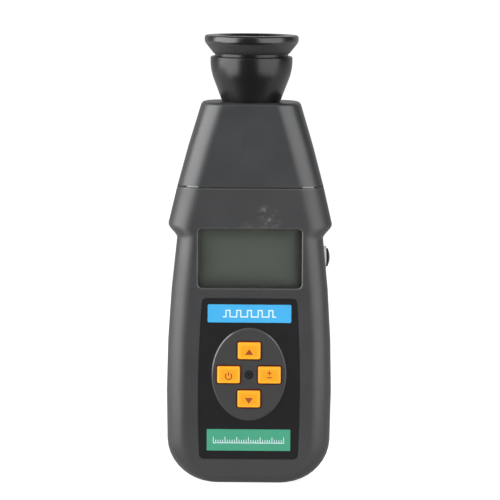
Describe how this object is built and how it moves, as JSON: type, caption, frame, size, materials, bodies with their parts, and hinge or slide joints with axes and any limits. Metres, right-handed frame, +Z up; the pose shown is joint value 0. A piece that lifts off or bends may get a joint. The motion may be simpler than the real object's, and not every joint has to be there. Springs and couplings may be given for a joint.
{
  "type": "xenon stroboscope",
  "caption": "Upright handheld xenon stroboscope: black moulded grip, window, yellow press keys, and a round lamp bowl on its tapered head.",
  "frame": {"origin": "centre of the flat foot, at the bottom of the case", "axes": "+Z up along the grip to the lamp, front face with the keys towards -Y, side button towards +X"},
  "size_m": [0.0774, 0.044, 0.21],
  "materials": {
    "shell_plastic": "fine grained, slightly shiny moulded surface",
    "gloss_black": "polished",
    "button_rubber": "smooth satin",
    "frame_plastic": "plain moulded",
    "clear_lens": "clear",
    "bright_reflector": "bright metallised",
    "ceramic": "unglazed",
    "steel": "plated",
    "ribbon_film": "smooth film",
    "display_glass": "clear, slightly tinted",
    "display_panel": "grey-green liquid crystal",
    "rubber_strip": "smooth",
    "label_film": "printed film with a blue and a green bar",
    "key_yellow": "satin",
    "switch_plastic": "plain",
    "bezel_plastic": "satin",
    "brass_insert": "plain",
    "board_laminate": "solder mask",
    "chip_plastic": "moulded",
    "capacitor_sleeve": "shrink sleeve",
    "ferrite": "sintered",
    "winding_tape": "tape over windings",
    "cell_sleeve": "printed sleeve",
    "lead_insulation": "smooth"
  },
  "bodies": {
    "case": {"front_shell": "shell_plastic", "rear_shell": "shell_plastic", "head_cover": "shell_plastic", "lamp_bowl": "gloss_black", "bowl_nut": "frame_plastic", "lens_ring": "gloss_black", "lamp_lens": "clear_lens", "reflector": "bright_reflector", "lamp_socket": "ceramic", "flash_tube": "clear_lens", "tube_caps": "steel", "tube_posts": "steel", "trigger_wire": "steel", "lamp_ribbon": "ribbon_film", "lamp_connector": "frame_plastic", "display_window": "display_glass", "display_panel": "display_panel", "display_frame": "frame_plastic", "contact_strips": "rubber_strip", "keypad_label": "label_film", "key_switches": "switch_plastic", "centre_screw": "steel", "centre_nut": "brass_insert", "side_bezel": "bezel_plastic", "side_switch": "switch_plastic", "side_board": "board_laminate", "main_board": "board_laminate", "controller_chip": "chip_plastic", "crystal": "steel", "flash_capacitor": "capacitor_sleeve", "transformer_core": "ferrite", "transformer_winding": "winding_tape", "trigger_coil": "winding_tape", "battery_cells": "cell_sleeve", "upper_contacts": "steel", "lower_contacts": "steel", "battery_leads": "lead_insulation", "case_screws": "steel", "head_screws": "steel", "board_screws": "steel"},
    "key_up": {"key_up": "key_yellow", "plunger_up": "frame_plastic"},
    "key_down": {"key_down": "key_yellow", "plunger_down": "frame_plastic"},
    "key_power": {"key_power": "key_yellow", "plunger_power": "frame_plastic"},
    "key_fine": {"key_fine": "key_yellow", "plunger_fine": "frame_plastic"},
    "side_button": {"side_button": "button_rubber", "side_plunger": "frame_plastic"},
    "battery_cover": {"battery_cover": "shell_plastic"}
  },
  "joints": [
    {"name": "key_up_press", "type": "slide", "parent": "case", "child": "key_up", "axis": [0, 1, 0], "range_m": [0, 0.0006], "stiffness_N_per_m": 1500, "springref_m": -0.0002},
    {"name": "key_down_press", "type": "slide", "parent": "case", "child": "key_down", "axis": [0, 1, 0], "range_m": [0, 0.0006], "stiffness_N_per_m": 1500, "springref_m": -0.0002},
    {"name": "key_power_press", "type": "slide", "parent": "case", "child": "key_power", "axis": [0, 1, 0], "range_m": [0, 0.0006], "stiffness_N_per_m": 1500, "springref_m": -0.0002},
    {"name": "key_fine_press", "type": "slide", "parent": "case", "child": "key_fine", "axis": [0, 1, 0], "range_m": [0, 0.0006], "stiffness_N_per_m": 1500, "springref_m": -0.0002},
    {"name": "side_button_press", "type": "slide", "parent": "case", "child": "side_button", "axis": [-1, 0, 0], "range_m": [0, 0.001], "stiffness_N_per_m": 1200, "springref_m": -0.0002},
    {"name": "battery_cover_slide", "type": "slide", "parent": "case", "child": "battery_cover", "axis": [0, 0, -1], "range_m": [0, 0.06]}
  ]
}
